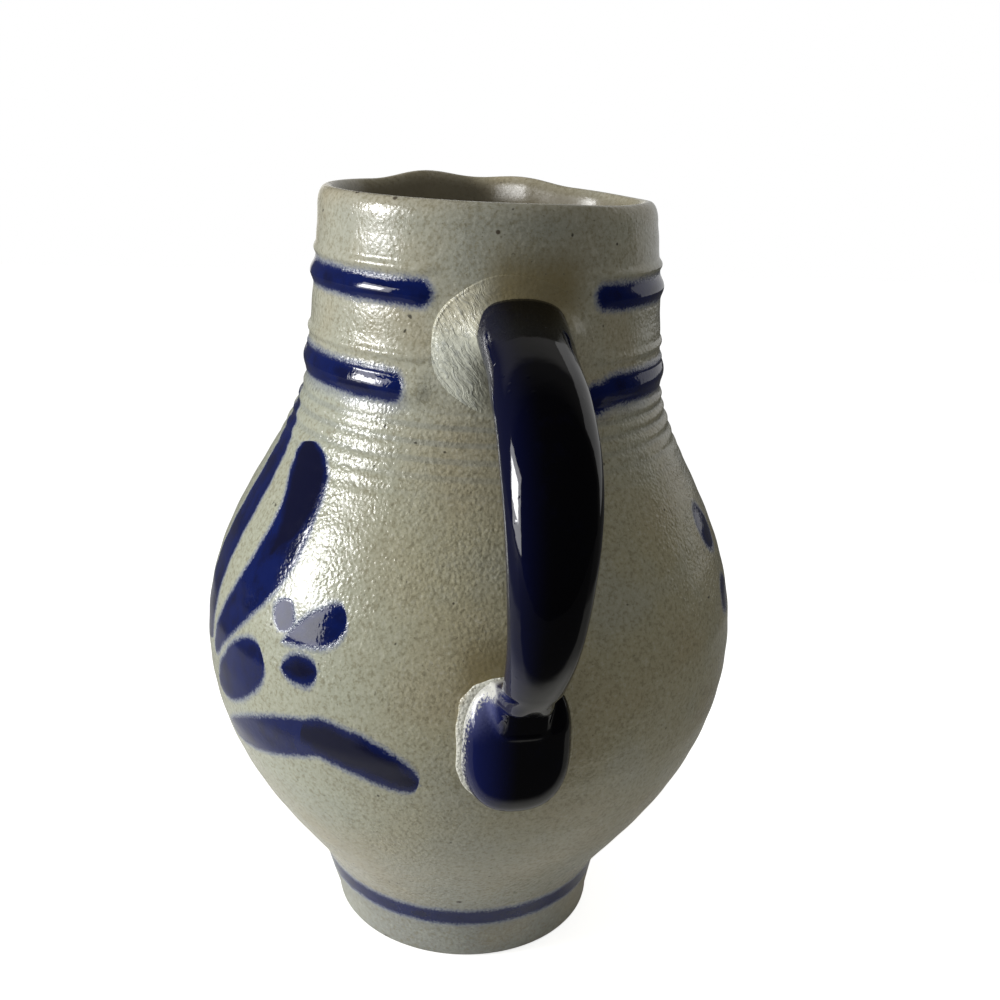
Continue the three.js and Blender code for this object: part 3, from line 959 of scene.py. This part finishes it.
def bands(r, at):
    """Distance inside the painted ribs of the neck and the line on the foot, and the wash below."""
    upper = band(r, at, upper_band + 0.2, 2.9, 26.0, 24.5)
    lower = band(r, at, lower_band + 0.1, 3.6, 33.0, 19.5, 2.2)
    foot = 2.5 - abs(at.level - 14.2)
    wash = band(r, at, lower_band - 1.8, 4.4, 31.0, 18.0, 2.2)
    return r.largest(upper, lower, foot), wash


# %% [markdown]
# ## The body's finish
# Cobalt bleeds a little in the glaze: a dense blue heart, a feathered edge and a pale lilac halo. So
# the distance inside a stroke is roughened with fine noise, then read twice, once for the wash and
# once for the heart. Thick paint goes nearly black. Over cobalt the glaze runs smoother, so
# the grain is turned down there.

# %% Material of the thrown body
def new_recipe(name):
    """A new material and its empty tree."""
    material = bpy.data.materials.new(name)
    material.use_nodes = True
    return material, Recipe(material.node_tree)


def glaze(r, colour, rough, skin):
    """Clear glass over a colour, with its roughness and the height of its skin in millimetres."""
    bump = r.node("ShaderNodeBump", {}, {"Strength": 1.0, "Distance": MM, "Height": skin})
    shader = r.node("ShaderNodeBsdfPrincipled", {}, {
        "Base Color": colour, "Roughness": rough, "Normal": bump, "IOR": 1.5})
    r.node("ShaderNodeOutputMaterial", {}, {"Surface": shader})


def finish_stoneware():
    """Salt glaze with cobalt bands and leaves under it, browner inside the jug and darker there as painted
    shade.
    """
    material, r = new_recipe("salt_glazed_stoneware")
    at = Where(r)
    bare = clay_colour(r, at)
    inner = r.node("ShaderNodeAttribute", {"attribute_name": "inner"}, {}, 2)
    # Inside the jug: a browner glaze, made darker still as painted shade.
    bare = r.blend(inner * 0.85, bare, (0.17, 0.145, 0.095))
    fine = r.noise(at.mm, 0.5, 2.0, 0.65) - 0.5
    slow = r.noise(at.mm, 4.0, 2.0, 0.5) - 0.5
    leaves, thick = brushwork(r, at)
    ribs_painted, rib_wash = bands(r, at)
    inside = r.largest(leaves, ribs_painted) + fine * 2.0 + slow * 0.9 - inner * 9.0
    wash = r.rise(inside, -1.3, 0.4)
    heart = r.rise(inside, -0.25, 0.9)
    pooled = r.rise(thick + fine * 1.5 + slow * 3.0, 0.2, 3.3)
    cloudy = r.rise(r.noise(at.mm, 7.0, 3.0, 0.6), 0.38, 0.66) * r.rise(inside, 0.6, 2.6)
    pale_wash = r.rise(rib_wash + fine * 3.0 + slow * 3.0, -0.6, 2.5) * 0.35
    hazed = r.blend(r.largest(wash * 0.75, pale_wash), bare, (0.17, 0.20, 0.30))
    blue = r.blend(heart, hazed, (0.004, 0.010, 0.078))
    colour = r.blend(r.largest(pooled * 0.85, cloudy * 0.6), blue, (0.004, 0.004, 0.014))
    skin = grain(r, at) * (1.0 - heart * 0.82) * (1.0 - pooled * 0.8) * (1.0 - inner * 0.7)
    sparkle = r.noise(at.mm, 3.0, 2.0, 0.5)
    dull_foot = r.rise(at.level, 13.0, 10.0) * 0.2
    rough = 0.11 + sparkle * 0.15 - heart * 0.12 + dull_foot + inner * 0.12
    glaze(r, colour, rough, skin)
    return material


jug_body.data.materials.append(finish_stoneware())
print("body nodes:", len(jug_body.data.materials[0].node_tree.nodes))

# %% [markdown]
# ## The handle's finish
# The handle was painted with so much cobalt that it fired almost black, and it is the glossiest
# part of the jug. Blue shows along its left side and over the pad, partly where the brush ran thin
# and partly as painted light on the side that faces the window. Over the pad the white slip beneath
# it also shows as a pale, ragged rim.

# %% Material of the handle
def pad_outline(r, at):
    """0 at the middle of the pressed pad, 1 on its outline and more beyond it."""
    across = abs(at.round * arc + 1.4) / pad_half
    up = at.level - tail_level
    tall = r.largest(up / pad_above, up / -pad_below)
    return (across ** 2.6 + tall ** 2.6) ** (1.0 / 2.6)


def finish_handle():
    """Near-black cobalt glass, bluer on its left and over the pad from thin paint and painted light, with
    pale slip at the pad's rim.
    """
    material, r = new_recipe("cobalt_glazed_handle")
    at = Where(r)
    streaks = r.noise(at.mm, 5.0, 3.0, 0.6)
    fine = r.noise(at.mm, 0.6, 2.0, 0.6) - 0.5
    left = r.rise(at.x, -1.5, -9.0)
    low = r.rise(at.level, 116.0, 88.0)
    # Bluer towards the window side: partly thin paint, partly painted light.
    window_side_and_thin_paint = left * (0.3 + 0.7 * low) + r.rise(streaks, 0.55, 0.8) * 0.06
    blue = r.blend(window_side_and_thin_paint, (0.0008, 0.0008, 0.002), (0.005, 0.008, 0.058))
    by_wall = r.rise(at.radius, 71.0, 67.5) * r.rise(at.level, 100.0, 92.0)
    out = pad_outline(r, at)
    high = r.rise(at.level, 80.0, 88.0)
    rim = r.rise(out + fine * 0.3, 0.91, 1.01) * r.rise(at.x, 0.0, -5.0) * by_wall
    hazy = r.rise(out + fine * 0.3, 0.45, 0.95) * r.rise(at.x, -3.0, -8.0) * by_wall * high
    hazed = r.blend(hazy * 0.8, blue, (0.10, 0.11, 0.24))
    slip = r.blend(rim * 0.95, hazed, (0.61, 0.61, 0.56))
    skin = r.noise(at.mm, 3.0, 1.0, 0.4) * 0.035 + r.rise(r.cells(at.mm, 3.6), 0.16, 0.02) * 0.03
    glaze(r, slip, 0.06 + rim * 0.3, skin)
    return material


handle.data.materials.append(finish_handle())

# %% Material of the luting clay
def finish_root_clay():
    """Paler and streaked slantwise by the fingers on the left, like the body towards its other edges; the
    paleness is partly a painted highlight.
    """
    material, r = new_recipe("luting_slip_root")
    at = Where(r)
    left = r.rise(at.x, -4.0, -11.0) * r.rise(at.level, 173.0, 167.0)
    slant = at.x * 0.83 + at.level * 0.56
    along = at.level * 0.83 - at.x * 0.56
    waver = r.noise(at.mm, 3.0, 1.0, 0.5) * 2.2
    brushed = r.node("ShaderNodeCombineXYZ", {}, {0: (slant + waver) / 0.5, 1: along / 2.2})
    streaks = r.noise(brushed, 1.0, 2.0, 0.55)
    # Cream slip on the left, made paler still as a painted highlight where the pat faces the window.
    pale_slip_and_highlight = r.blend(r.rise(at.level, 155.0, 163.0), (0.62, 0.64, 0.55), (0.64, 0.61, 0.46))
    colour = r.blend(left * 0.62, clay_colour(r, at), pale_slip_and_highlight)
    colour = r.blend(left * r.rise(streaks, 0.50, 0.66) * 0.42, colour, (0.25, 0.27, 0.28))
    skin = grain(r, at) * (1.0 - left * 0.3) + streaks * left * 0.42
    rough = 0.2 + r.noise(at.mm, 3.0, 2.0, 0.5) * 0.16
    glaze(r, colour, rough, skin)
    return material


def finish_tail_bead():
    """White slip crystals close to the pad's left side, partly a painted highlight, and the body's own
    colour further out.
    """
    material, r = new_recipe("luting_slip_tail")
    at = Where(r)
    fine = r.noise(at.mm, 0.7, 2.0, 0.6) - 0.5
    # White beside the pad's left side: slip, plus painted highlight where the bumps face the window.
    near = r.rise(pad_outline(r, at) + fine * 0.35, 1.24, 1.08) * r.rise(at.x, 0.0, -6.0)
    colour = r.blend(near * 0.95, clay_colour(r, at), (0.74, 0.74, 0.66))
    crystals = r.cells(at.mm, 0.7) * -0.25
    glaze(r, colour, 0.3, grain(r, at) + crystals)
    return material


root_clay.data.materials.append(finish_root_clay())
tail_bead.data.materials.append(finish_tail_bead())

# %% [markdown]
# ## Camera
# The photograph was taken close by and from just above the rim, looking down a little, with the
# handle in front and the camera rolled slightly to one side.

# %% Camera at the photograph's place
camera_round = math.radians(-10.4)
camera_away = 0.27492
camera_height = 0.20188
camera_pan = 0.0204
camera_pitch = 0.3241
camera_roll = 0.0469
camera_zoom = 1.17265
film_width = 36.0


def camera_matrix():
    """Columns are right, up and backwards, all turned round Z by the camera's own angle."""
    forward = np.array([math.sin(camera_pan) * math.cos(camera_pitch),
                        math.cos(camera_pan) * math.cos(camera_pitch), -math.sin(camera_pitch)])
    right = unit(np.cross(forward, (0.0, 0.0, 1.0)))
    up = np.cross(right, forward)
    rolled_right = math.cos(camera_roll) * right + math.sin(camera_roll) * up
    rolled_up = -math.sin(camera_roll) * right + math.cos(camera_roll) * up
    spot = (0.0, -camera_away, camera_height)
    return Matrix.Rotation(camera_round, 4, "Z") @ standing(rolled_right, rolled_up, -forward, spot)


camera_data = bpy.data.cameras.new("camera")
camera_data.sensor_width = film_width
camera_data.lens = camera_zoom * film_width
camera_data.clip_start = 0.01
camera = add_object("camera", camera_data)
camera.matrix_world = camera_matrix()
bpy.context.scene.camera = camera

# %% [markdown]
# ## Light and floor
# One tall window on the left does nearly all the work; it is the narrow streak on the handle and the
# broad sparkle on the belly. The rest is a weak fill from the right and the room's own dim light.
# The world is white where the camera looks at it. To the glaze it is white straight behind the jug
# and a dim room everywhere else, a little paler high up behind.

# %% Window and fill
def soft_lamp(name, round_degrees, up_degrees, distance, wide, tall, brightness):
    """An area lamp aimed at the jug's middle; its power is pi times its area times its brightness."""
    lamp = bpy.data.lights.new(name, "AREA")
    lamp.shape = "RECTANGLE"
    lamp.size, lamp.size_y = wide, tall
    lamp.energy = math.pi * wide * tall * brightness
    turn, up = math.radians(round_degrees), math.radians(up_degrees)
    back = np.array([math.sin(turn) * math.cos(up), -math.cos(turn) * math.cos(up), math.sin(up)])
    side = unit(np.cross((0.0, 0.0, 1.0), back))
    jug_middle = np.array([0.0, 0.0, 0.1])
    holder = add_object(name, lamp)
    holder.matrix_world = standing(side, np.cross(back, side), back, jug_middle + back * distance)
    holder.visible_camera = False
    print(name, "gives", round(lamp.energy, 1), "watts")


soft_lamp("window", -85.0, 14.0, 1.2, 0.58, 0.72, 4.7)
soft_lamp("bright_pane", -87.0, 15.0, 1.19, 0.38, 0.36, 23.0)
soft_lamp("fill", 138.0, 12.0, 1.4, 2.0, 1.6, 0.50)

# %% World
def ray_kinds(r):
    """1 for rays that come straight from the camera or through glass, and 1 for mirrored rays."""
    kinds = r.node("ShaderNodeLightPath").socket.node.outputs
    direct = r.largest(Wire(r, kinds["Is Camera Ray"]), Wire(r, kinds["Is Transmission Ray"]))
    return direct, Wire(r, kinds["Is Glossy Ray"])


world = bpy.data.worlds.new("room")
world.use_nodes = True
bpy.context.scene.world = world
w = Recipe(world.node_tree)
plain, glossy = ray_kinds(w)
towards = w.node("ShaderNodeTexCoord", {}, {}, 0)
direction = w.node("ShaderNodeSeparateXYZ", {}, {0: towards}).socket.node.outputs
behind, overhead = Wire(w, direction[1]), Wire(w, direction[2])
towards_back = w.rise(behind, 0.965, 0.995)
wall_behind = w.rise(behind, 0.33, 0.5) * w.rise(overhead, 0.3, 0.75) * 0.26
low_behind = w.rise(behind, -0.1, 0.3) * 0.07
mirrored = w.largest(towards_back, wall_behind, low_behind, 0.02)
level_of_light = plain + (1.0 - plain) * (glossy * mirrored + (1.0 - glossy) * 0.32)
tint = w.blend(plain, (1.0, 0.98, 0.93), (1.0, 1.0, 1.0))
sky = w.node("ShaderNodeBackground", {}, {"Color": tint, "Strength": level_of_light})
w.node("ShaderNodeOutputWorld", {}, {"Surface": sky})

# %% Floor
def lay_floor():
    """A pale table top that is in the shade towards the viewer and far out, most of all as the glaze
    mirrors it. To the camera it is so pale that only the jug's shadow shows, and away from the jug it
    passes into the white behind it."""
    near, far, half, below = -0.35, 1.2, 1.2, -0.0003
    mesh = bpy.data.meshes.new("floor")
    corners = [(-half, near, below), (half, near, below), (half, far, below), (-half, far, below)]
    mesh.from_pydata(corners, [], [(0, 1, 2, 3)])
    ground = add_object("floor", mesh)
    material, r = new_recipe("pale_floor")
    at = Where(r)
    direct, glossy_ray = ray_kinds(r)
    away = r.rise(at.radius, 90.0, 160.0)
    in_front = r.rise(at.y, -88.0, -125.0)
    towards_viewer = in_front * (0.7 + 0.3 * glossy_ray)
    shaded = r.largest(away * 0.6, r.rise(at.radius, 170.0, 320.0) * 0.95, towards_viewer)
    cloth = r.node("ShaderNodeBsdfDiffuse", {}, {
        "Color": r.blend(shaded, (0.86, 0.86, 0.83), (0.07, 0.07, 0.07))})
    shine = direct * (0.80 + 0.2 * r.largest(away, in_front))
    glow = r.node("ShaderNodeEmission", {}, {"Color": (1.0, 1.0, 1.0), "Strength": shine})
    both = r.node("ShaderNodeAddShader", {}, {0: cloth, 1: glow})
    r.node("ShaderNodeOutputMaterial", {}, {"Surface": both})
    mesh.materials.append(material)
    return ground


lay_floor()
bpy.context.scene.view_settings.view_transform = "Standard"
